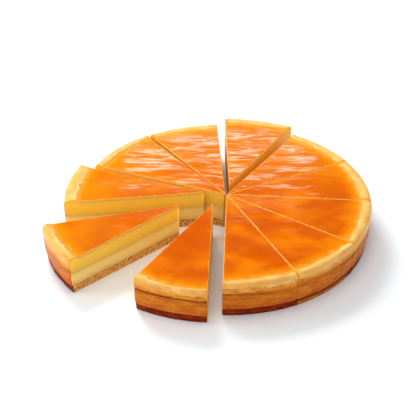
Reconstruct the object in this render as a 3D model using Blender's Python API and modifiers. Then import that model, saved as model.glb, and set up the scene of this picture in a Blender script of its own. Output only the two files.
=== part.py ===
"""Baked cheesecake on a thin pastry base, glazed on top and cut into slices. Metres, +Z up.

The cake is turned whole, one disc for each layer, and then cut with a wedge for each slice, as the
real one is. One of its twelve slices has been served. Every slice that is left is four solids: the
pastry base, a pale lower filling, a yellow upper filling that rises to a rim, and the glaze poured
inside that rim. The slices have slid apart, and each keeps its own offset.
"""

import math

import bmesh
import bpy
from mathutils import Matrix, Vector

# Driving dimensions.
CAKE_RADIUS = 0.140
CAKE_HEIGHT = 0.040
BASE_HEIGHT = 0.008
LOWER_HEIGHT = 0.0135
GLAZE_DEPTH = 0.0027
GLAZE_BELOW_RIM = 0.0012

# The side of the cake: each layer bulges, and draws in where it meets the next.
BASE_FOOT_INSET = 0.0040
BASE_TOP_INSET = 0.0026
LOWER_FOOT_INSET = 0.0021
LOWER_BULGE_INSET = 0.0009
SEAM_INSET = 0.0011
SHOULDER_RADIUS = 0.0042

LAYER_GAP = 0.0003
KNIFE_CUT = 0.0003
TURN_STEPS = 120
WEDGE_LENGTH = 0.200
WEDGE_DEPTH = 0.100

# Heights where one layer ends and the next begins.
LOWER_FOOT = BASE_HEIGHT + LAYER_GAP
SEAM_HEIGHT = BASE_HEIGHT + LOWER_HEIGHT
UPPER_FOOT = SEAM_HEIGHT + LAYER_GAP
GLAZE_TOP = CAKE_HEIGHT - GLAZE_BELOW_RIM
GLAZE_FOOT = GLAZE_TOP - GLAZE_DEPTH
RECESS_FLOOR = GLAZE_FOOT - LAYER_GAP

# The slices left, anticlockwise from the front: first cut and last cut (degrees from +X), how far the
# slice has slid from its place in the whole cake (x, y), how much of its thin tip is cut away, and the
# width of its rim, for the glaze ran further out on some slices than on others.
SLICES = (
    (-91.2, -62.9, 0.0001, -0.0010, 0, 0.0078),
    (-62.9, -33.3, 0.0002, -0.0009, 0, 0.0085),
    (-33.3, -3.0, 0.00025, -0.0008, 0, 0.0108),
    (-3.0, 28.3, 0.0003, -0.0007, 0, 0.0126),
    (28.3, 59.1, 0.0002, -0.0006, 0, 0.0126),
    (60.4, 91.9, 0.0020, 0.0125, 0.0040, 0.0122),
    (94.0, 125.1, -0.0003, -0.0009, 0, 0.0124),
    (126.4, 159.3, -0.0012, -0.0002, 0, 0.0108),
    (159.8, 189.3, -0.0164, 0.0022, 0.0040, 0.0144),
    (195.9, 223.7, -0.0362, -0.0165, 0.0090, 0.0100),
    (239.5, 268.5, -0.0106, -0.0118, 0.0048, 0.0070),
)


def base_profile():
    """Pastry base: slightly wider at its middle than at its foot."""
    return [
        (0, BASE_HEIGHT),
        (CAKE_RADIUS - BASE_TOP_INSET, BASE_HEIGHT),
        (CAKE_RADIUS - BASE_TOP_INSET + 0.0003, 0.75 * BASE_HEIGHT),
        (CAKE_RADIUS - BASE_TOP_INSET - 0.0003, 0.35 * BASE_HEIGHT),
        (CAKE_RADIUS - BASE_FOOT_INSET, 0),
        (0, 0),
    ]


def bulge(foot, top, foot_inset, top_inset, crown_inset, count):
    """Points down the outside of a layer that swells between its top and its foot."""
    points = []
    for step in range(count + 1):
        share = step / count
        chord = top_inset + (foot_inset - top_inset) * share
        swell = math.sin(math.pi * share) * (0.5 * (top_inset + foot_inset) - crown_inset)
        points.append((CAKE_RADIUS - chord + swell, top + (foot - top) * share))
    return points


def lower_profile():
    """Pale lower filling, bulging between the base and the seam."""
    side = bulge(LOWER_FOOT, SEAM_HEIGHT, LOWER_FOOT_INSET, SEAM_INSET, LOWER_BULGE_INSET, 5)
    return [(0, SEAM_HEIGHT), *side, (0, LOWER_FOOT)]


def upper_profile(rim_width):
    """Yellow upper filling with a rounded rim round the recess that holds the glaze."""
    recess_radius = CAKE_RADIUS - rim_width
    shoulder_centre = (CAKE_RADIUS - SHOULDER_RADIUS - 0.0002, CAKE_HEIGHT - SHOULDER_RADIUS)
    shoulder = [
        (
            shoulder_centre[0] + SHOULDER_RADIUS * math.sin(math.radians(angle)),
            shoulder_centre[1] + SHOULDER_RADIUS * math.cos(math.radians(angle)),
        )
        for angle in (0, 22, 45, 68)
    ]
    side = bulge(UPPER_FOOT, shoulder_centre[1] - 0.001, SEAM_INSET, 0.0002, 0.0003, 4)
    rim_crest = (0.5 * (recess_radius + 0.0012 + shoulder_centre[0]), CAKE_HEIGHT - 0.0002)
    return [
        (0, RECESS_FLOOR),
        (recess_radius, RECESS_FLOOR),
        (recess_radius + 0.0012, GLAZE_TOP),
        rim_crest,
        *shoulder,
        *side,
        (0, UPPER_FOOT),
    ]


def glaze_profile(rim_width):
    """Glaze: a shallow disc that thins to nothing against the inside of the rim."""
    recess_radius = CAKE_RADIUS - rim_width
    return [
        (0, GLAZE_TOP),
        (recess_radius - 0.0020, GLAZE_TOP),
        (recess_radius - 0.0002, GLAZE_TOP - 0.0006),
        (recess_radius - LAYER_GAP, GLAZE_FOOT),
        (0, GLAZE_FOOT),
    ]


def make_material(name, colour, roughness):
    material = bpy.data.materials.new(name)
    material.use_nodes = True
    shader = material.node_tree.nodes["Principled BSDF"]
    shader.inputs["Base Color"].default_value = (*colour, 1)
    shader.inputs["Roughness"].default_value = roughness
    shader.inputs["Metallic"].default_value = 0
    material.diffuse_color = (*colour, 1)
    return material


def profile_mesh(name, profile, material):
    """An open line from the axis over the outside and back to the axis, for the Screw modifier."""
    mesh = bpy.data.meshes.new(name)
    points = [(radius, 0, height) for radius, height in profile]
    mesh.from_pydata(points, [(i, i + 1) for i in range(len(points) - 1)], [])
    mesh.materials.append(material)
    return mesh


def wedge_mesh(name, first_cut, last_cut, tip_cut_away):
    """A three-sided prism between two cuts, moved in by half a knife cut and by what the tip has lost."""
    half_angle = math.radians(last_cut - first_cut) / 2
    heading = math.radians(first_cut + last_cut) / 2
    inset = KNIFE_CUT / 2 / math.sin(half_angle) + tip_cut_away
    body = bmesh.new()
    bmesh.ops.create_cone(body, cap_ends=True, segments=3, radius1=1, radius2=1, depth=WEDGE_DEPTH)
    half_width = WEDGE_LENGTH * math.tan(half_angle)
    stretch = Matrix.Diagonal((half_width / math.sin(math.pi / 3), WEDGE_LENGTH / 1.5, 1, 1))
    turn = Matrix.Rotation(heading + math.pi / 2, 4, "Z")
    place = turn @ Matrix.Translation((0, -inset, 0)) @ stretch @ Matrix.Translation((0, -1, 0))
    bmesh.ops.transform(body, matrix=place, verts=body.verts)
    mesh = bpy.data.meshes.new(name)
    body.to_mesh(mesh)
    body.free()
    return mesh


def add_object(name, data, collection, parent):
    made = bpy.data.objects.new(name, data)
    made.parent = parent
    collection.objects.link(made)
    return made


def turn_and_cut(piece, wedge):
    """Turns a layer's profile into the whole disc, and keeps what lies inside the wedge."""
    turn = piece.modifiers.new("turn", "SCREW")
    turn.axis = "Z"
    turn.angle = math.tau
    turn.steps = TURN_STEPS
    turn.render_steps = TURN_STEPS
    turn.use_merge_vertices = True
    turn.merge_threshold = 0.00005
    turn.use_smooth_shade = False
    cut = piece.modifiers.new("cut", "BOOLEAN")
    cut.operation = "INTERSECT"
    cut.solver = "EXACT"
    cut.object = wedge


def build_slice(number, cuts, materials, collection, cutters, whole):
    """One slice: the four layers turned, cut by one wedge, and slid together by one empty."""
    first_cut, last_cut, slid_x, slid_y, tip_cut_away, rim_width = cuts
    profiles = {
        "base": base_profile(),
        "lower": lower_profile(),
        "upper": upper_profile(rim_width),
        "glaze": glaze_profile(rim_width),
    }
    place = add_object(f"place_{number:02d}", None, collection, whole)
    place.location = (slid_x, slid_y, 0)
    wedge_shape = wedge_mesh("wedge", first_cut, last_cut, tip_cut_away)
    wedge = add_object(f"wedge_{number:02d}", wedge_shape, cutters, place)
    wedge.display_type = "WIRE"
    wedge.hide_render = True
    for layer, profile in profiles.items():
        mesh = profile_mesh(layer, profile, materials[layer])
        turn_and_cut(add_object(f"{layer}_{number:02d}", mesh, collection, place), wedge)


def stand_on_origin(whole, collection):
    """Moves the whole so that the middle of its footprint is at the origin."""
    bpy.context.view_layer.update()
    graph = bpy.context.evaluated_depsgraph_get()
    corners = [
        piece.evaluated_get(graph).matrix_world @ Vector(corner)
        for piece in collection.objects
        if piece.type == "MESH"
        for corner in piece.evaluated_get(graph).bound_box
    ]
    for axis in (0, 1):
        values = [corner[axis] for corner in corners]
        whole.location[axis] = -(min(values) + max(values)) / 2


def main():
    for old in list(bpy.data.objects):
        bpy.data.objects.remove(old, do_unlink=True)
    collection = bpy.data.collections.new("baked_cheesecake")
    cutters = bpy.data.collections.new("cutters")
    bpy.context.scene.collection.children.link(collection)
    bpy.context.scene.collection.children.link(cutters)
    whole = add_object("whole", None, collection, None)
    materials = {
        "base": make_material("base", (0.30, 0.10, 0.03), 0.9),
        "lower": make_material("lower", (0.82, 0.58, 0.25), 0.7),
        "upper": make_material("upper", (0.80, 0.45, 0.09), 0.6),
        "glaze": make_material("glaze", (0.83, 0.19, 0.01), 0.15),
    }
    for number, cuts in enumerate(SLICES, start=1):
        build_slice(number, cuts, materials, collection, cutters, whole)
    stand_on_origin(whole, collection)


main()
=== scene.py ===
"""Looks of the baked cheesecake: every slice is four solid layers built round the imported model's slices.

The model is loaded first. Each slice's tip and its two cuts are read from its pastry base, and every
layer is then a fine closed mesh between those cuts. Colours and textures run in the whole cake's own
coordinates, so that they pass from one slice to the next as they did before the cake was cut.
"""

import math

import bmesh
import bpy
from mathutils import Matrix, Vector, noise


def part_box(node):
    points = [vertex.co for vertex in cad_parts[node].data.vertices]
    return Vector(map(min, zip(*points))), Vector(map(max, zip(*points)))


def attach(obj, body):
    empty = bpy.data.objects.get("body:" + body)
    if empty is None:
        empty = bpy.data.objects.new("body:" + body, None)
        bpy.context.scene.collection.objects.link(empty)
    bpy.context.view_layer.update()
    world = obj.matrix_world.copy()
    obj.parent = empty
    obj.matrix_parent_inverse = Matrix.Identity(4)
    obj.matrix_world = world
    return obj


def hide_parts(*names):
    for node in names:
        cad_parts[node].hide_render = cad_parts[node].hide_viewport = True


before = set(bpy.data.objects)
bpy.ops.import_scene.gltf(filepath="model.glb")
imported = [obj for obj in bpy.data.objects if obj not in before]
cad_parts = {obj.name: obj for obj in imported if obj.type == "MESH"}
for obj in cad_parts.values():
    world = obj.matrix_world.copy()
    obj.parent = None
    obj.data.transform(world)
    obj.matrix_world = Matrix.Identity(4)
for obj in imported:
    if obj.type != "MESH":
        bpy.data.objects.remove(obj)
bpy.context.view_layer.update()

MM = 0.001
KNIFE_CUT = 0.3 * MM

# The camera stands in front of the cake and looks down on it (metres and degrees from its centre).
CAMERA_OFFSET = (-0.0088, -0.8932, 0.6137)
CAMERA_YAW = -0.55
CAMERA_PITCH = 33.47
CAMERA_ROLL = 0.60
CAMERA_LENS = 95.69

# A slice that still has its whole tip, and whose circle has stayed on the cake's centre.
CENTRE_SLICE = 7

# A corner of a slice's foot that lies further than this from its tip is on the outside.
LONGER_THAN_TIP = 50 * MM

# Circles on which the noise that goes round the cake is read.
NOISE_RADIUS = 60 * MM
WRINKLE_RADIUS = 140 * MM

# Heights of the layers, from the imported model.
BASE_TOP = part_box("base_01")[1][2]
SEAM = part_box("lower_01")[1][2]
RIM_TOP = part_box("upper_01")[1][2]
GLAZE_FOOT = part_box("glaze_01")[0][2]
GLAZE_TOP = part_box("glaze_01")[1][2]

# Rounding of the edges that the knife left, on the top and down the outside.
TOP_EDGE_ROUND = 0.8 * MM
SIDE_EDGE_ROUND = 1.0 * MM
SIDE_EDGE_WORN = 0.8

# How far the cuts stand out before they are pitted, which closes the widest gaps a little.
CUT_PROUD = 0.12 * MM

# The upper filling's rows of vertices under the glaze and on the rim, and every layer's first columns as
# distances from a cut.
FIELD_ROWS = 24
RIM_ROWS = 20
EDGE_COLUMNS = (0, 0.12 * MM, 0.35 * MM, 0.9 * MM)

# Edges that bend by more than this stay sharp.
SHARP_EDGE = math.radians(48)

# The fold that runs round the side under the rim.
CREASE_HEIGHT = 24.6 * MM
CREASE_DEPTH = 1.1 * MM
CREASE_SPREAD = 1.2 * MM

# The stretch of the outside where the crust stayed pale, as distances round it from the right-hand side.
PALE_CRUST = (-153 * MM, -84 * MM)

# How much orange light falls on the cuts of the slices that stand close together at the back.
CUT_WARMTH = {6: 0.6, 7: 0.5, 8: 0.2}

# The studio's even light, and how much of it shows in the glaze.
WORLD_LIGHT = 0.62
WORLD_REFLECTED = 0.04

# The studio's lights: name, place to the right of, behind and above the cake's centre, width and height,
# watts, colour, and whether the glaze reflects it.
WHITE = (1.0, 1.0, 1.0)
WARM = (1.0, 0.96, 0.88)
LIGHTS = (
    ("key", (-0.55, 1.05, 1.05), (0.7, 0.7), 21, WHITE, False),
    ("left", (-1.3, -0.1, 0.5), (0.6, 0.5), 6, WHITE, False),
    ("back", (-0.01, 1.6, 0.912), (0.50, 0.085), 0.95, WARM, True),
    ("streak", (-0.05, 1.6, 1.17), (0.55, 0.03), 0.1, WARM, True),
    ("fill", (-0.1, -1.3, 0.9), (1.0, 0.6), 3, WHITE, False),
    ("top", (-0.1, -0.15, 1.5), (0.5, 0.4), 2.5, WHITE, True),
)

# The floor's half width and how far it lies under the cake (metres), and its colour.
FLOOR_REACH = 6
FLOOR_GAP = 0.0001
FLOOR_COLOUR = (0.92, 0.955, 0.975, 1)

# The browned side and rim.
SHOULDER_HEIGHT = 34.0 * MM
RIM_UNEVEN = 1.1 * MM
RIM_FOOT_SLOPE = 1.8 * MM
RIM_CREST_AT = 0.50
RIM_LIP = GLAZE_TOP - 0.25 * MM

# How far the outside of the top has sunk in front, and where it has sunk most (degrees).
DROOP = 3.4 * MM
DROOP_BEARING = -88

# Width of the rim in millimetres at each slice's first cut, middle and last cut.
RIM_WIDTHS = {
    1: (6.5, 9.4, 7.6),
    2: (9.0, 9.2, 5.5),
    3: (8.8, 11.2, 11.6),
    4: (12.0, 12.8, 13.4),
    5: (13.2, 12.8, 12.8),
    6: (10.4, 12.8, 13.2),
    7: (13.2, 12.6, 12.0),
    8: (8.8, 11.0, 10.6),
    9: (14.0, 16.2, 13.0),
    10: (10.4, 10.2, 9.6),
    11: (10.5, 5.2, 6.6),
}


def lumps(point, size, seed=0.0):
    """Smooth noise about -1 to 1 with features of one size; size may be a number or one per axis."""
    sizes = size if isinstance(size, tuple) else (size, size, size)
    return noise.noise(Vector((point[0] / sizes[0] + seed, point[1] / sizes[1], point[2] / sizes[2])))


def clamp(value, low=0.0, high=1.0):
    return max(low, min(high, value))


def smooth(value):
    share = clamp(value)
    return share * share * (3 - 2 * share)


def round_off(distance, radius):
    """How far a surface has dropped at a distance from an edge rounded to a radius."""
    if distance >= radius:
        return 0.0
    return radius - math.sqrt(radius * radius - (radius - distance) ** 2)


def toward(bearing):
    """A flat vector one metre long along a bearing."""
    return Vector((math.cos(bearing), math.sin(bearing)))


class Slice:
    """A slice's tip, cuts and circle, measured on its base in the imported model."""

    def __init__(self, number, foot_radius=None):
        self.number = number
        corners = [v.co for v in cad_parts[f"base_{number:02d}"].data.vertices if v.co.z < 0.01 * MM]
        places = sorted({(round(co.x, 6), round(co.y, 6)) for co in corners})
        foot = [Vector(place) for place in places]
        middle = sum(foot, Vector((0, 0))) / len(foot)
        self.tip = max(foot, key=lambda point: (point - middle).length).copy()
        ahead = (middle - self.tip).normalized()
        arms = [point - self.tip for point in foot if (point - self.tip).length > LONGER_THAN_TIP]
        turns = [math.atan2(ahead.x * arm.y - ahead.y * arm.x, ahead.dot(arm)) for arm in arms]
        self.first = math.atan2(ahead.y, ahead.x) + min(turns)
        self.width = max(turns) - min(turns)
        bearing = self.first + self.width / 2
        heading = toward(bearing)
        if foot_radius is None:
            behind = KNIFE_CUT / 2 / math.sin(self.width / 2)
        else:
            arm = max(arms, key=lambda arm: arm.normalized().dot(heading))
            along = arm.dot(heading)
            behind = -along + math.sqrt(along ** 2 - arm.length_squared + foot_radius ** 2)
        self.centre = self.tip - behind * heading
        self.foot_radius = max((point - self.centre).length for point in foot)
        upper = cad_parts[f"upper_{number:02d}"].data.vertices
        self.radius = max((v.co.xy - self.centre).length for v in upper)

    def bearings(self, length, middle_count):
        """Bearings of all the columns at a length from the tip: close to the cuts they run beside them."""
        widest = length * math.sin(self.width / 2)
        count = len(EDGE_COLUMNS)
        edge = [
            math.asin(clamp(min(distance, 0.7 * widest * step / count) / max(length, 1e-9)))
            for step, distance in enumerate(EDGE_COLUMNS)
        ]
        inner = self.width - 2 * edge[-1]
        middle = [edge[-1] + inner * step / middle_count for step in range(1, middle_count)]
        mirrored = [self.width - turn for turn in reversed(edge)]
        return [self.first + turn for turn in edge + middle + mirrored]

    def reach(self, bearing, radius):
        """Length from the tip to the circle of a radius round the centre, along a bearing."""
        arm = self.tip - self.centre
        along = arm.x * math.cos(bearing) + arm.y * math.sin(bearing)
        return -along + math.sqrt(along * along - arm.length_squared + radius * radius)

    def from_cut(self, point):
        """Distance to the nearer cut."""
        arm = point - self.tip
        last = self.first + self.width
        beside_first = arm.y * math.cos(self.first) - arm.x * math.sin(self.first)
        beside_last = arm.x * math.sin(last) - arm.y * math.cos(last)
        return max(0.0, min(beside_first, beside_last))

    def polar(self, point):
        """Distance and bearing of a point from the circle's centre."""
        arm = point - self.centre
        return arm.length, math.atan2(arm.y, arm.x)


class Spot:
    """A place on a slice: where it was in the whole cake, and how far it is from the nearer cut."""

    def __init__(self, piece, point):
        self.point = point
        self.rho, self.theta = piece.polar(point)
        self.cake = point - piece.centre
        self.cut = piece.from_cut(point)
        self.around = (NOISE_RADIUS * math.cos(self.theta), NOISE_RADIUS * math.sin(self.theta), 0)


def arc(piece, spot):
    """Distance round the outside from the cake's right-hand side, negative towards the front."""
    return math.remainder(spot.theta, math.tau) * piece.radius


def rim_inner(piece, theta):
    """Radius where the glaze meets the rim, uneven round the cake."""
    around = (math.cos(theta), math.sin(theta), 0)
    uneven = sum(
        share * lumps(around, size, seed)
        for share, size, seed in ((0.4, 0.45, 1.9), (0.7, 0.16, 3.1), (0.5, 0.06, 8.7), (0.3, 0.028, 4.4))
    )
    turn = (theta - piece.first + math.pi) % math.tau - math.pi
    share = clamp(turn / piece.width)
    at_first, at_middle, at_last = RIM_WIDTHS[piece.number]
    pull = 2 * at_middle - 0.5 * (at_first + at_last)
    width = at_first * (1 - share) ** 2 + 2 * pull * share * (1 - share) + at_last * share ** 2
    return piece.radius - width * MM + RIM_UNEVEN * uneven


# ---------------------------------------------------------------- layer shapes

def base_outside(piece, spot, height):
    taper = 3.8 * MM - 1.1 * MM * math.sin(math.pi / 2 * clamp(height / BASE_TOP)) ** 0.6
    place = (*spot.cake, height)
    rough = 0.35 * MM * lumps(place, 2.2 * MM, 5.0) + 0.25 * MM * lumps(place, 6 * MM)
    return piece.radius - taper + rough


def wrinkles(spot, height):
    """Fine wrinkles that run round the baked side."""
    place = (*(spot.cake.normalized() * WRINKLE_RADIUS), height)
    return (
        0.34 * MM * lumps(place, (30 * MM, 30 * MM, 2.2 * MM), 2.0)
        + 0.22 * MM * lumps(place, (12 * MM, 12 * MM, 1.3 * MM), 7.0)
        + 0.55 * MM * lumps(place, (35 * MM, 35 * MM, 12 * MM), 4.0)
    )


def crease_height(spot):
    """The fold under the rim's roll wanders up and down round the cake."""
    wander = 1.4 * MM * lumps(spot.around, 16 * MM, 5.5) + 0.4 * MM * lumps(spot.around, 5 * MM, 1.5)
    return CREASE_HEIGHT + wander


def crease_strength(spot):
    """The fold is deepest on the slice that stands at the front left."""
    fading = smooth(0.5 + 1.4 * lumps(spot.around, 22 * MM, 12.5))
    front_left = clamp(math.cos(spot.theta - math.radians(-108))) ** 6
    return max(0.2 + 0.5 * fading, front_left)


def fold_share(spot, height):
    """1 in the fold under the rim, where it is strongest, and 0 away from it."""
    off_crease = (height - crease_height(spot)) / CREASE_SPREAD
    return crease_strength(spot) * math.exp(-off_crease * off_crease)


def lower_outside(piece, spot, height):
    share = clamp((height - BASE_TOP) / (SEAM - BASE_TOP))
    inset = 2.3 * MM - 1.3 * MM * math.sin(math.pi / 2 * share) ** 0.7
    return piece.radius - inset + wrinkles(spot, height)


def upper_outside(piece, spot, height):
    share = clamp((height - SEAM) / (SHOULDER_HEIGHT - SEAM))
    inset = 0.75 * MM * (1 - share) ** 2 + 0.25 * MM + CREASE_DEPTH * fold_share(spot, height)
    return piece.radius - inset + wrinkles(spot, height) * (1 - 0.6 * smooth(share * 2 - 1))


def droop(piece, spot):
    """How far the top has sunk: most at the outside in front, and nothing at the centre or the back."""
    frontal = max(0.0, math.cos(spot.theta - math.radians(DROOP_BEARING)))
    return DROOP * frontal * clamp(spot.rho / piece.radius) ** 1.5


def rim_height(piece, spot):
    """Top of the upper filling: level under the glaze, then a rounded rim."""
    inner = rim_inner(piece, spot.theta)
    outer = piece.radius
    sunk = droop(piece, spot)
    if spot.rho < inner:
        rise = clamp((spot.rho - inner + RIM_FOOT_SLOPE) / RIM_FOOT_SLOPE)
        return GLAZE_FOOT + (RIM_LIP - GLAZE_FOOT) * rise - sunk
    across = clamp((spot.rho - inner) / (outer - inner))
    crest = RIM_TOP - 0.3 * MM + 0.5 * MM * lumps(spot.around, 9 * MM, 2.2)
    if across < RIM_CREST_AT:
        height = RIM_LIP + (crest - RIM_LIP) * math.sin(math.pi / 2 * across / RIM_CREST_AT) ** 0.8
    else:
        fall = (across - RIM_CREST_AT) / (1 - RIM_CREST_AT)
        height = SHOULDER_HEIGHT + (crest - SHOULDER_HEIGHT) * math.sqrt(1 - fall ** 2.5)
    off_edges = smooth(4 * across) * smooth(4 - 4 * across)
    dimples = 0.18 * MM * lumps((*spot.cake, 0), 3.5 * MM, 6.0) * off_edges
    return height + dimples - sunk - round_off(spot.cut, TOP_EDGE_ROUND) * smooth(6 * across + 0.4)


def glaze_height(piece, spot):
    """Top of the glaze: long low ripples across the cake, finer ones on them, and a rounded cut edge."""
    x, y = spot.cake
    bend = 5 * MM * lumps((x, y, 0), 30 * MM, 9.0)
    ripples = (
        0.22 * MM * lumps((x, y + bend, 0), (36 * MM, 11 * MM, 1), 1.0)
        + 0.075 * MM * lumps((x, y + bend, 0), (16 * MM, 4.2 * MM, 1), 2.0)
        + 0.03 * MM * lumps((x, y + bend, 0), (7 * MM, 1.9 * MM, 1), 3.0)
    )
    ripples *= 0.5 + 0.5 * smooth((y + 30 * MM) / (60 * MM))
    inner = rim_inner(piece, spot.theta)
    near_rim = clamp((inner - spot.rho) / (3 * MM))
    ripples *= 0.35 + 0.65 * smooth(near_rim)
    down_to_lip = (GLAZE_TOP - RIM_LIP) * (1 - near_rim) ** 2
    return GLAZE_TOP + ripples - down_to_lip - droop(piece, spot) - round_off(spot.cut, TOP_EDGE_ROUND)


def glaze_foot(piece, spot):
    return GLAZE_FOOT - droop(piece, spot)


def glaze_outside(piece, spot, height):
    lip = RIM_LIP - droop(piece, spot)
    slope = RIM_FOOT_SLOPE * clamp((lip - height) / (RIM_LIP - GLAZE_FOOT))
    return rim_inner(piece, spot.theta) + 0.15 * MM - slope


# ---------------------------------------------------------------- mesh of one layer

class Layer:
    """Makes the closed mesh of one layer of each slice from its top, foot and outside.

    Rows run from the tip to the outside, columns from cut to cut and levels from foot to top. From the
    row skin_from outward the top is skin, and so is the outside.
    """

    def __init__(self, name, foot, top, outside, rows, levels, columns, cut_rough=0.0, skin_from=math.inf):
        self.name = name
        self.foot = foot
        self.top = top
        self.outside = outside
        self.rows = rows
        self.levels = levels
        self.columns = columns
        self.cut_rough = cut_rough
        self.skin_from = skin_from

    def spot_at(self, piece, column, share, radius):
        """The place a share of the way out along a column that ends on the circle of a radius."""
        length = share * piece.reach(self.out_bearings[column], radius)
        bearing = piece.bearings(length, self.columns)[column]
        return Spot(piece, piece.tip + length * toward(bearing))

    def place(self, piece, row, column, level):
        """The spot and height of the vertex in a row, a column and a level."""
        share = self.column_rows[column][row]
        rise = self.levels[level]
        rim_spot = Spot(piece, self.rim_points[column])
        nearly = self.outside(piece, rim_spot, SHOULDER_HEIGHT if rise else 0.0)
        spot = self.spot_at(piece, column, share, nearly)
        top = self.top(piece, spot) if callable(self.top) else self.top
        foot = self.foot(piece, spot) if callable(self.foot) else self.foot
        height = foot + (top - foot) * rise
        worn = SIDE_EDGE_WORN * round_off(rim_spot.cut, SIDE_EDGE_ROUND)
        return self.spot_at(piece, column, share, self.outside(piece, rim_spot, height) - worn), height

    def build(self, piece, materials):
        body = bmesh.new()
        bearings = piece.bearings(piece.radius, self.columns)
        self.out_bearings = bearings
        ends = [piece.reach(bearing, piece.radius) * toward(bearing) for bearing in bearings]
        self.rim_points = [piece.tip + end for end in ends]
        self.column_rows = [self.rows(piece, bearing) for bearing in bearings]
        last_row = len(self.column_rows[0]) - 1
        last_column = len(bearings) - 1
        last_level = len(self.levels) - 1
        made = {}
        facts = []

        def vertex(row, column, level):
            key = (0, 0, level) if row == 0 else (row, column, level)
            if key not in made:
                spot, height = self.place(piece, *key)
                point = Vector((*spot.point, height))
                if row and column in (0, last_column):
                    point -= self.roughness(piece, spot, height, column == 0)
                made[key] = body.verts.new(point)
                facts.append((spot, height))
            return made[key]

        def sheet(corner, outer_count, inner_count, material):
            for a in range(outer_count):
                for b in range(inner_count):
                    corners = [corner(a, b), corner(a + 1, b), corner(a + 1, b + 1), corner(a, b + 1)]
                    outline = list(dict.fromkeys(corners))
                    if len(outline) > 2:
                        face = body.faces.new(outline)
                        face.material_index = material(a, b)
                        face.smooth = True

        def top_material(a, b):
            return int(a >= self.skin_from)

        sheet(lambda a, b: vertex(a, b, last_level), last_row, last_column, top_material)
        sheet(lambda a, b: vertex(a, 0, b), last_row, last_level, lambda a, b: 0)
        sheet(lambda a, b: vertex(a, last_column, b), last_row, last_level, lambda a, b: 0)
        sheet(lambda a, b: vertex(last_row, a, b), last_column, last_level, lambda a, b: 1)
        if callable(self.foot):
            sheet(lambda a, b: vertex(a, b, 0), last_row, last_column, lambda a, b: 1)
        else:
            outline = [vertex(row, 0, 0) for row in range(last_row)]
            outline += [vertex(last_row, column, 0) for column in range(last_column + 1)]
            outline += [vertex(row, last_column, 0) for row in range(last_row - 1, 0, -1)]
            underside = body.faces.new(outline)
            underside.material_index = 1
        bmesh.ops.recalc_face_normals(body, faces=body.faces)
        for edge in body.edges:
            if len(edge.link_faces) == 2 and edge.calc_face_angle() > SHARP_EDGE:
                edge.smooth = False
        return self.finish(piece, body, facts, materials)

    def roughness(self, piece, spot, height, first_side):
        """How far a cut face is pitted, as a move into the slice."""
        bearing = piece.first if first_side else piece.first + piece.width
        outward = Vector((math.sin(bearing), -math.cos(bearing), 0)) * (1 if first_side else -1)
        place = (*spot.cake, height)
        pits = 0.5 + 0.5 * lumps(place, 1.3 * MM, 4.0) + 0.35 * lumps(place, 4 * MM, 6.0)
        drag = 0.06 * MM * lumps(place, (30 * MM, 30 * MM, 3 * MM), 8.0)
        fade = smooth(spot.cake.length / (8 * MM))
        return outward * (max(0.0, self.cut_rough * pits + drag) * fade - CUT_PROUD)

    def finish(self, piece, body, facts, materials):
        name = f"{self.name}_slice_{piece.number:02d}"
        mesh = bpy.data.meshes.new(name)
        body.to_mesh(mesh)
        body.free()
        for material in materials:
            mesh.materials.append(material)
        tell = {
            "cake": ("FLOAT_VECTOR", "vector", lambda spot, height: (*spot.cake, height)),
            "ring": ("FLOAT_VECTOR", "vector", lambda spot, height: (arc(piece, spot), spot.rho, height)),
            "cut": ("FLOAT", "value", lambda spot, height: (spot.cut,)),
            "rim": ("FLOAT", "value", lambda spot, height: (spot.rho - rim_inner(piece, spot.theta),)),
            "fold": ("FLOAT", "value", lambda spot, height: (fold_share(spot, height),)),
        }
        for attribute, (kind, field, value) in tell.items():
            mesh.attributes.new(attribute, kind, "POINT")
            numbers = [number for fact in facts for number in value(*fact)]
            mesh.attributes[attribute].data.foreach_set(field, numbers)
        made = bpy.data.objects.new(name, mesh)
        bpy.context.scene.collection.objects.link(made)
        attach(made, "root")
        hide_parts(f"{self.name}_{piece.number:02d}")
        return made


def even(count):
    """Levels from a layer's foot to its top."""
    return [step / count for step in range(count + 1)]


def plain_rows(shares):
    """The same rows for every column."""
    return lambda piece, bearing: shares


def rim_rows(piece, bearing):
    """Rows for the upper filling: a few to the rim's foot, two up to the glaze's edge, then close ones."""
    outside = piece.reach(bearing, piece.radius)
    theta = piece.polar(piece.tip + outside * toward(bearing))[1]
    inner = piece.reach(bearing, rim_inner(piece, theta))
    foot = inner - RIM_FOOT_SLOPE
    field = [foot * step / FIELD_ROWS for step in range(FIELD_ROWS)]
    shares = [math.sin(math.pi / 2 * step / RIM_ROWS) for step in range(RIM_ROWS + 1)]
    rim = [inner + (outside - inner) * share for share in shares]
    return [length / outside for length in field + [foot, 0.5 * (foot + inner)] + rim]


# ---------------------------------------------------------------- materials

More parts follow.
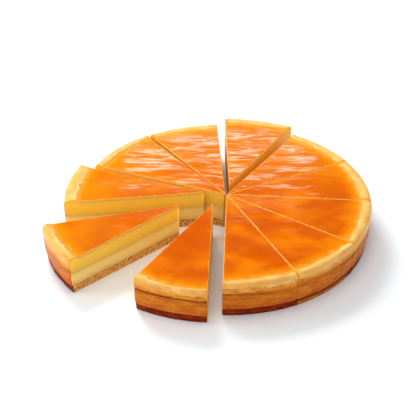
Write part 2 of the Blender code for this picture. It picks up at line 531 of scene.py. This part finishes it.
class Nodes:
    """Short calls for building a material's node tree."""

    def __init__(self, name):
        self.material = bpy.data.materials.new(name)
        self.material.use_nodes = True
        self.tree = self.material.node_tree
        self.shader = self.tree.nodes["Principled BSDF"]

    def node(self, kind, **inputs):
        """A new node; i0, i1 and so on are its inputs by number, and other names its inputs by name."""
        made = self.tree.nodes.new(kind)
        for key, value in inputs.items():
            socket = made.inputs[int(key[1:])] if key[0] == "i" and key[1:].isdigit() else made.inputs[key]
            self.set(socket, value)
        return made

    def set(self, socket, value):
        if isinstance(value, bpy.types.NodeSocket):
            self.tree.links.new(value, socket)
        else:
            socket.default_value = value

    def attribute(self, name):
        made = self.tree.nodes.new("ShaderNodeAttribute")
        made.attribute_name = name
        return made

    def math(self, operation, first, second=0.0, third=0.0):
        made = self.node("ShaderNodeMath", i0=first, i1=second, i2=third)
        made.operation = operation
        return made.outputs[0]

    def times(self, first, second):
        return self.math("MULTIPLY", first, second)

    def shifted(self, value, noise_value, reach):
        """A value moved up and down by a noise, over a reach in all."""
        return self.math("ADD", value, self.times(self.math("SUBTRACT", noise_value, 0.5), reach))

    def scaled(self, vector, scale):
        made = self.node("ShaderNodeVectorMath", i0=vector, i1=scale)
        made.operation = "MULTIPLY"
        return made.outputs[0]

    def clouds(self, vector, scale, detail=2.0, roughness=0.5):
        """Noise from about 0 to 1 in a vector stretched by a scale for each axis, per metre."""
        made = self.node("ShaderNodeTexNoise")
        self.set(made.inputs["Vector"], self.scaled(vector, scale))
        self.set(made.inputs["Scale"], 1.0)
        self.set(made.inputs["Detail"], detail)
        self.set(made.inputs["Roughness"], roughness)
        return made.outputs["Fac"]

    def span(self, value, low, high, to_low=0.0, to_high=1.0):
        made = self.node("ShaderNodeMapRange", i0=value, i1=low, i2=high, i3=to_low, i4=to_high)
        made.interpolation_type = "SMOOTHSTEP"
        return made.outputs[0]

    def blend(self, share, first, second, kind="MIX"):
        made = self.tree.nodes.new("ShaderNodeMix")
        made.data_type = "RGBA"
        made.blend_type = kind
        self.set(made.inputs[0], share)
        self.set(made.inputs[6], first)
        self.set(made.inputs[7], second)
        return made.outputs[2]

    def ramp(self, value, *stops):
        made = self.node("ShaderNodeValToRGB", i0=value)
        ramp = made.color_ramp
        while len(ramp.elements) < len(stops):
            ramp.elements.new(0.5)
        for element, (position, colour) in zip(ramp.elements, stops):
            element.position = position
            element.color = colour
        return made.outputs[0]

    def bump(self, height, distance, strength=1.0):
        made = self.node("ShaderNodeBump", Height=height, Distance=distance, Strength=strength)
        return made.outputs[0]

    def soften(self, weight, depth):
        """Light that goes in and comes out again near by, redder the further it goes."""
        self.shader.inputs["Subsurface Weight"].default_value = weight
        self.shader.inputs["Subsurface Radius"].default_value = (1.0, 0.55, 0.22)
        self.shader.inputs["Subsurface Scale"].default_value = depth

    def finish(self, colour, roughness, normal=None):
        self.set(self.shader.inputs["Base Color"], colour)
        self.set(self.shader.inputs["Roughness"], roughness)
        if normal is not None:
            self.set(self.shader.inputs["Normal"], normal)
        return self.material


def hue(red, green, blue):
    """A colour from its display values, 0 to 255."""
    shares = [value / 255 for value in (red, green, blue)]
    linear = [share / 12.92 if share < 0.04 else ((share + 0.055) / 1.055) ** 2.4 for share in shares]
    return (*linear, 1)


def separate(n, vector):
    return n.node("ShaderNodeSeparateXYZ", i0=vector).outputs


def near_cut(n, width):
    """1 at the cuts, 0 at a width from them and less than 0 further in."""
    return n.math("SUBTRACT", 1.0, n.math("DIVIDE", n.attribute("cut").outputs["Fac"], width))


def glaze_material():
    """Orange jelly: yellower at the back and where it thins towards the rim, with painted light that makes
    it yellower at the left and a painted highlight along the cuts.
    """
    n = Nodes("orange_jelly_glaze")
    cake = n.attribute("cake").outputs["Vector"]
    from_rim = n.attribute("rim").outputs["Fac"]
    across, back, _ = separate(n, cake)
    uneven = n.clouds(cake, (22, 34, 1), 3.0)
    colour = n.ramp(
        n.span(uneven, 0.28, 0.72),
        (0.0, hue(200, 80, 3)),
        (0.45, hue(208, 91, 4)),
        (1.0, hue(226, 118, 7)),
    )
    colour = n.blend(n.span(back, -0.02, 0.07, 0.0, 0.6), colour, hue(222, 122, 8))
    # Painted light: the glaze on the slices at the left is lighter and yellower, as where the light from
    # the left and behind shines through it.
    painted_light_left = n.times(n.span(across, -0.02, -0.13, 0.0, 0.75), n.span(uneven, 0.25, 0.6, 0.5, 1.0))
    colour = n.blend(painted_light_left, colour, hue(224, 130, 10))
    thinning = n.shifted(from_rim, n.clouds(cake, (130, 130, 1), 3.0), 9 * MM)
    colour = n.blend(n.span(thinning, -0.013, -0.003, 0.0, 0.75), colour, hue(226, 132, 10))
    colour = n.blend(n.span(thinning, -0.0045, 0.001, 0.0, 0.9), colour, hue(236, 158, 48))
    # Painted highlight: a pale line along the cuts, where the rounded edge of the glaze catches the light.
    cut_highlight_noise = n.clouds(cake, (300, 300, 100), 2.0)
    cut_highlight_width = n.span(cut_highlight_noise, 0.3, 0.7, 0.0004, 0.0012)
    edge = near_cut(n, cut_highlight_width)
    colour = n.blend(n.span(edge, -0.1, 0.6, 0.0, 0.85), colour, hue(244, 182, 84))
    ripple = n.clouds(cake, (70, 420, 1), 2.0)
    normal = n.bump(ripple, 0.00010, 0.3)
    n.shader.inputs["IOR"].default_value = 1.42
    wet = n.span(n.clouds(cake, (16, 48, 1), 3.0, 0.6), 0.42, 0.56, 0.06, 0.62)
    level = n.span(from_rim, -0.017, -0.008, 1.0, 0.2)
    n.set(n.shader.inputs["Specular IOR Level"], n.times(wet, level))
    return n.finish(colour, 0.08, normal)


def wrinkle_lines(n, ring, scale, width):
    """Thin wavy lines that run round the side: the contours of a stretched noise."""
    noise_value = n.clouds(ring, scale, 3.0, 0.55)
    off_line = n.math("ABSOLUTE", n.math("SUBTRACT", noise_value, 0.5))
    return n.span(off_line, 0.0, width, 1.0, 0.0)


def skin_material():
    """Baked skin: pale gold on the rim, golden brown and wrinkled down the side."""
    n = Nodes("baked_skin")
    cake = n.attribute("cake").outputs["Vector"]
    ring = n.attribute("ring").outputs["Vector"]
    from_rim = n.attribute("rim").outputs["Fac"]
    height = separate(n, cake)[2]
    wavy = n.clouds(ring, (25, 0, 60), 2.0)
    lifted = n.shifted(height, wavy, 8 * MM)
    colour = n.ramp(
        n.span(lifted, 0.006, 0.041),
        (0.0, hue(200, 96, 18)),
        (0.25, hue(208, 116, 26)),
        (0.50, hue(196, 100, 18)),
        (0.62, hue(222, 134, 28)),
        (0.80, hue(232, 156, 44)),
        (1.0, hue(242, 186, 94)),
    )
    side = n.span(height, 0.029, 0.036, 1.0, 0.0)
    mottle = n.clouds(ring, (60, 0, 330), 4.0, 0.6)
    colour = n.blend(n.times(n.span(mottle, 0.5, 0.72, 0.0, 0.8), side), colour, hue(176, 84, 20))
    colour = n.blend(n.times(n.span(mottle, 0.5, 0.3, 0.0, 0.65), side), colour, hue(230, 150, 48))
    lines = n.times(wrinkle_lines(n, ring, (30, 0, 300), 0.030), side)
    colour = n.blend(n.times(lines, 0.8), colour, hue(146, 62, 10))
    # Painted shade: the side is darkened in the fold under the rim, as by the shade that falls into it.
    fold = n.attribute("fold").outputs["Fac"]
    colour = n.blend(n.span(fold, 0.2, 0.9, 0.0, 0.9), colour, hue(120, 44, 6))
    toasted = n.clouds(ring, (70, 170, 170), 4.0, 0.6)
    colour = n.blend(n.span(toasted, 0.5, 0.75, 0.0, 0.65), colour, hue(210, 120, 30))
    pale = n.times(n.span(toasted, 0.5, 0.28, 0.0, 0.6), n.span(height, 0.026, 0.033))
    colour = n.blend(pale, colour, hue(252, 214, 142))
    off_glaze = n.shifted(from_rim, n.clouds(cake, (130, 130, 1), 3.0), 9 * MM)
    film = n.span(off_glaze, 0.0, 0.0045, 1.0, 0.0)
    colour = n.blend(n.times(film, 0.85), colour, hue(238, 158, 50))
    stretches = n.span(n.clouds(ring, (26, 0, 0), 2.0), 0.42, 0.6)
    on_top = n.span(height, 0.030, 0.034)
    stretches = n.times(stretches, on_top)
    # Painted highlight: a pale streak on the rim's crest just beyond the glaze, where the roll catches the
    # light.
    painted_highlight = n.math("ABSOLUTE", n.math("SUBTRACT", off_glaze, 0.0032))
    painted_highlight = n.times(n.span(painted_highlight, 0.0, 0.0018, 0.45, 0.0), stretches)
    colour = n.blend(painted_highlight, colour, hue(255, 230, 176))
    ridge = n.math("ABSOLUTE", n.math("SUBTRACT", off_glaze, 0.0014))
    ridge = n.times(n.span(ridge, 0.0, 0.0006, 0.6, 0.0), stretches)
    colour = n.blend(ridge, colour, hue(190, 98, 22))
    smear_noise = n.clouds(ring, (120, 240, 240), 2.0)
    smear_width = n.span(smear_noise, 0.35, 0.65, 0.0012, 0.0046)
    smear = near_cut(n, smear_width)
    on_rim = n.span(height, 0.026, 0.037)
    smear = n.times(n.span(smear, 0.0, 0.7, 0.0, 0.85), on_rim)
    colour = n.blend(smear, colour, hue(244, 158, 36))
    grain = n.clouds(ring, (420, 700, 1100), 4.0, 0.6)
    normal = n.bump(grain, 0.0004, 0.6)
    n.soften(0.12, 1 * MM)
    n.set(n.shader.inputs["Specular IOR Level"], n.span(height, 0.027, 0.036, 0.06, 0.5))
    return n.finish(colour, 0.36, normal)


def cut_material(name, warmth):
    """The fillings where they are cut: yellow above, paler below, with no sharp line between.

    In the narrow gaps the glaze's orange light falls on the cuts, and warmth says how much of it.
    """
    n = Nodes(name)
    cake = n.attribute("cake").outputs["Vector"]
    height = separate(n, cake)[2]
    drift = n.clouds(cake, (30, 30, 60), 2.0)
    lifted = n.shifted(height, drift, 6 * MM)
    colour = n.ramp(
        n.span(lifted, 0.006, 0.038),
        (0.0, hue(226, 178, 96)),
        (0.14, hue(238, 204, 124)),
        (0.36, hue(240, 204, 122)),
        (0.52, hue(234, 180, 66)),
        (0.75, hue(242, 192, 60)),
        (1.0, hue(254, 204, 70)),
    )
    drag = n.clouds(cake, (160, 160, 700), 3.0, 0.6)
    colour = n.blend(n.span(drag, 0.5, 0.8, 0.0, 0.3), colour, hue(238, 200, 116))
    colour = n.blend(warmth, colour, hue(250, 146, 20))
    grain = n.clouds(cake, (900, 900, 900), 3.0, 0.6)
    normal = n.bump(grain, 0.0003, 0.5)
    n.soften(0.6, 6 * MM)
    n.shader.inputs["Specular IOR Level"].default_value = 0.3
    return n.finish(colour, 0.5, normal)


def crumb_material():
    """Cut pastry: crumbs of several browns, darker right under the filling."""
    n = Nodes("cut_pastry_crumb")
    cake = n.attribute("cake").outputs["Vector"]
    crumbs = n.node("ShaderNodeTexVoronoi")
    n.set(crumbs.inputs["Vector"], cake)
    n.set(crumbs.inputs["Scale"], 620.0)
    tone = separate(n, crumbs.outputs["Color"])[0]
    colour = n.ramp(
        tone,
        (0.0, hue(172, 104, 38)),
        (0.35, hue(206, 142, 62)),
        (0.75, hue(222, 164, 82)),
        (1.0, hue(236, 190, 112)),
    )
    dark = n.clouds(cake, (420, 420, 700), 3.0)
    colour = n.blend(n.span(dark, 0.56, 0.72, 0.0, 0.7), colour, hue(126, 62, 16))
    under_curd = n.math("ADD", separate(n, cake)[2], n.times(dark, 0.0022))
    edge = n.span(under_curd, BASE_TOP - 0.2 * MM, BASE_TOP + 0.8 * MM, 0.0, 0.7)
    colour = n.blend(edge, colour, hue(118, 62, 20))
    normal = n.bump(crumbs.outputs["Distance"], 0.0008, 0.8)
    n.shader.inputs["Specular IOR Level"].default_value = 0.2
    return n.finish(colour, 0.85, normal)


def crust_material():
    """Pastry baked dark, but for one stretch that stayed pale under a dark top edge."""
    n = Nodes("baked_pastry_crust")
    cake = n.attribute("cake").outputs["Vector"]
    ring = n.attribute("ring").outputs["Vector"]
    round_outside, _, height = separate(n, ring)
    patches = n.clouds(ring, (110, 60, 420), 3.0)
    colour = n.blend(n.span(patches, 0.4, 0.7), hue(118, 30, 2), hue(156, 56, 8))
    tan = n.blend(n.span(patches, 0.35, 0.7), hue(172, 92, 26), hue(204, 134, 54))
    ragged = n.math("ADD", height, n.times(patches, 0.003))
    low = n.span(ragged, 0.0050, 0.0070, 1.0, 0.0)
    start, end = PALE_CRUST
    after_start = n.span(round_outside, start, start + 4 * MM)
    before_end = n.span(round_outside, end - 6 * MM, end, 1.0, 0.0)
    pale = n.times(low, n.times(after_start, before_end))
    colour = n.blend(pale, colour, tan)
    grain = n.clouds(cake, (1100, 1100, 1100), 3.0, 0.6)
    normal = n.bump(grain, 0.0006, 0.7)
    n.shader.inputs["Specular IOR Level"].default_value = 0.05
    return n.finish(colour, 0.6, normal)


# ---------------------------------------------------------------- lights, floor and camera

def area_light(name, place, target, size, power, colour, glossy):
    data = bpy.data.lights.new(name, "AREA")
    data.shape = "RECTANGLE"
    data.size, data.size_y = size
    data.energy = power
    data.color = colour
    made = bpy.data.objects.new(name, data)
    made.location = place
    direction = Vector(target) - made.location
    made.rotation_euler = direction.to_track_quat("-Z", "Y").to_euler()
    made.visible_glossy = glossy
    bpy.context.scene.collection.objects.link(made)


def studio(centre):
    x, y = centre
    mesh = bpy.data.meshes.new("floor")
    body = bmesh.new()
    bmesh.ops.create_grid(body, x_segments=1, y_segments=1, size=FLOOR_REACH)
    body.to_mesh(mesh)
    body.free()
    floor = bpy.data.objects.new("floor", mesh)
    floor.location = (x, y, -FLOOR_GAP)
    bpy.context.scene.collection.objects.link(floor)
    n = Nodes("pale_floor")
    mesh.materials.append(n.finish(FLOOR_COLOUR, 0.9))
    n.shader.inputs["Specular IOR Level"].default_value = 0.0
    world = bpy.data.worlds.new("studio")
    world.use_nodes = True
    tree = world.node_tree
    tree.nodes["Background"].inputs["Color"].default_value = (0.97, 0.985, 1, 1)
    path = tree.nodes.new("ShaderNodeLightPath")
    strength = tree.nodes.new("ShaderNodeMapRange")
    strength.inputs["To Min"].default_value = WORLD_LIGHT
    strength.inputs["To Max"].default_value = WORLD_REFLECTED
    tree.links.new(path.outputs["Is Glossy Ray"], strength.inputs["Value"])
    tree.links.new(strength.outputs[0], tree.nodes["Background"].inputs["Strength"])
    bpy.context.scene.world = world
    for name, (right, back, up), size, power, colour, glossy in LIGHTS:
        area_light(name, (x + right, y + back, up), (x, y, 0), size, power, colour, glossy)
    bpy.context.scene.view_settings.view_transform = "Standard"


def camera(centre):
    yaw, pitch, roll = (math.radians(angle) for angle in (CAMERA_YAW, CAMERA_PITCH, CAMERA_ROLL))
    ahead = Vector((math.sin(yaw) * math.cos(pitch), math.cos(yaw) * math.cos(pitch), -math.sin(pitch)))
    right = Vector((math.cos(yaw), -math.sin(yaw), 0))
    up = right.cross(ahead)
    rolled_right = math.cos(roll) * right + math.sin(roll) * up
    rolled_up = math.cos(roll) * up - math.sin(roll) * right
    data = bpy.data.cameras.new("camera")
    data.lens = CAMERA_LENS
    data.clip_start = 0.05
    made = bpy.data.objects.new("camera", data)
    turn = Matrix((rolled_right, rolled_up, -ahead)).transposed()
    offset = Vector(CAMERA_OFFSET)
    made.matrix_world = Matrix.Translation(Vector((*centre, 0)) + offset) @ turn.to_4x4()
    bpy.context.scene.collection.objects.link(made)
    bpy.context.scene.camera = made


# ---------------------------------------------------------------- the cake

def main():
    count = sum(name.startswith("base_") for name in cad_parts)
    whole_tip = Slice(CENTRE_SLICE)
    pieces = [Slice(number, whole_tip.foot_radius) for number in range(1, count + 1)]
    centre = whole_tip.centre
    camera(centre)
    studio(centre)
    crumb, crust = crumb_material(), crust_material()
    cuts = {warmth: cut_material(f"cut_curd_{warmth}", warmth) for warmth in {0.0, *CUT_WARMTH.values()}}
    skin = skin_material()
    glaze = glaze_material()
    crumb_rows, curd_rows = plain_rows(even(110)), plain_rows(even(40))
    glaze_rows = plain_rows([0.0, 0.004, 0.01] + [0.018 + 0.982 * share for share in even(112)])
    base = Layer(
        "base", foot=0.0, top=BASE_TOP, outside=base_outside,
        rows=crumb_rows, levels=even(7), columns=34, cut_rough=0.45 * MM,
    )
    lower = Layer(
        "lower", foot=BASE_TOP, top=SEAM, outside=lower_outside,
        rows=curd_rows, levels=even(13), columns=40, cut_rough=0.08 * MM,
    )
    upper = Layer(
        "upper", foot=SEAM, top=rim_height, outside=upper_outside,
        rows=rim_rows, levels=even(16), columns=40, cut_rough=0.08 * MM, skin_from=FIELD_ROWS + 2,
    )
    jelly = Layer(
        "glaze", foot=glaze_foot, top=glaze_height, outside=glaze_outside,
        rows=glaze_rows, levels=even(3), columns=50,
    )
    for piece in pieces:
        cut_curd = cuts[CUT_WARMTH.get(piece.number, 0.0)]
        base.build(piece, [crumb, crust])
        lower.build(piece, [cut_curd, skin])
        upper.build(piece, [cut_curd, skin])
        jelly.build(piece, [glaze, glaze])


main()
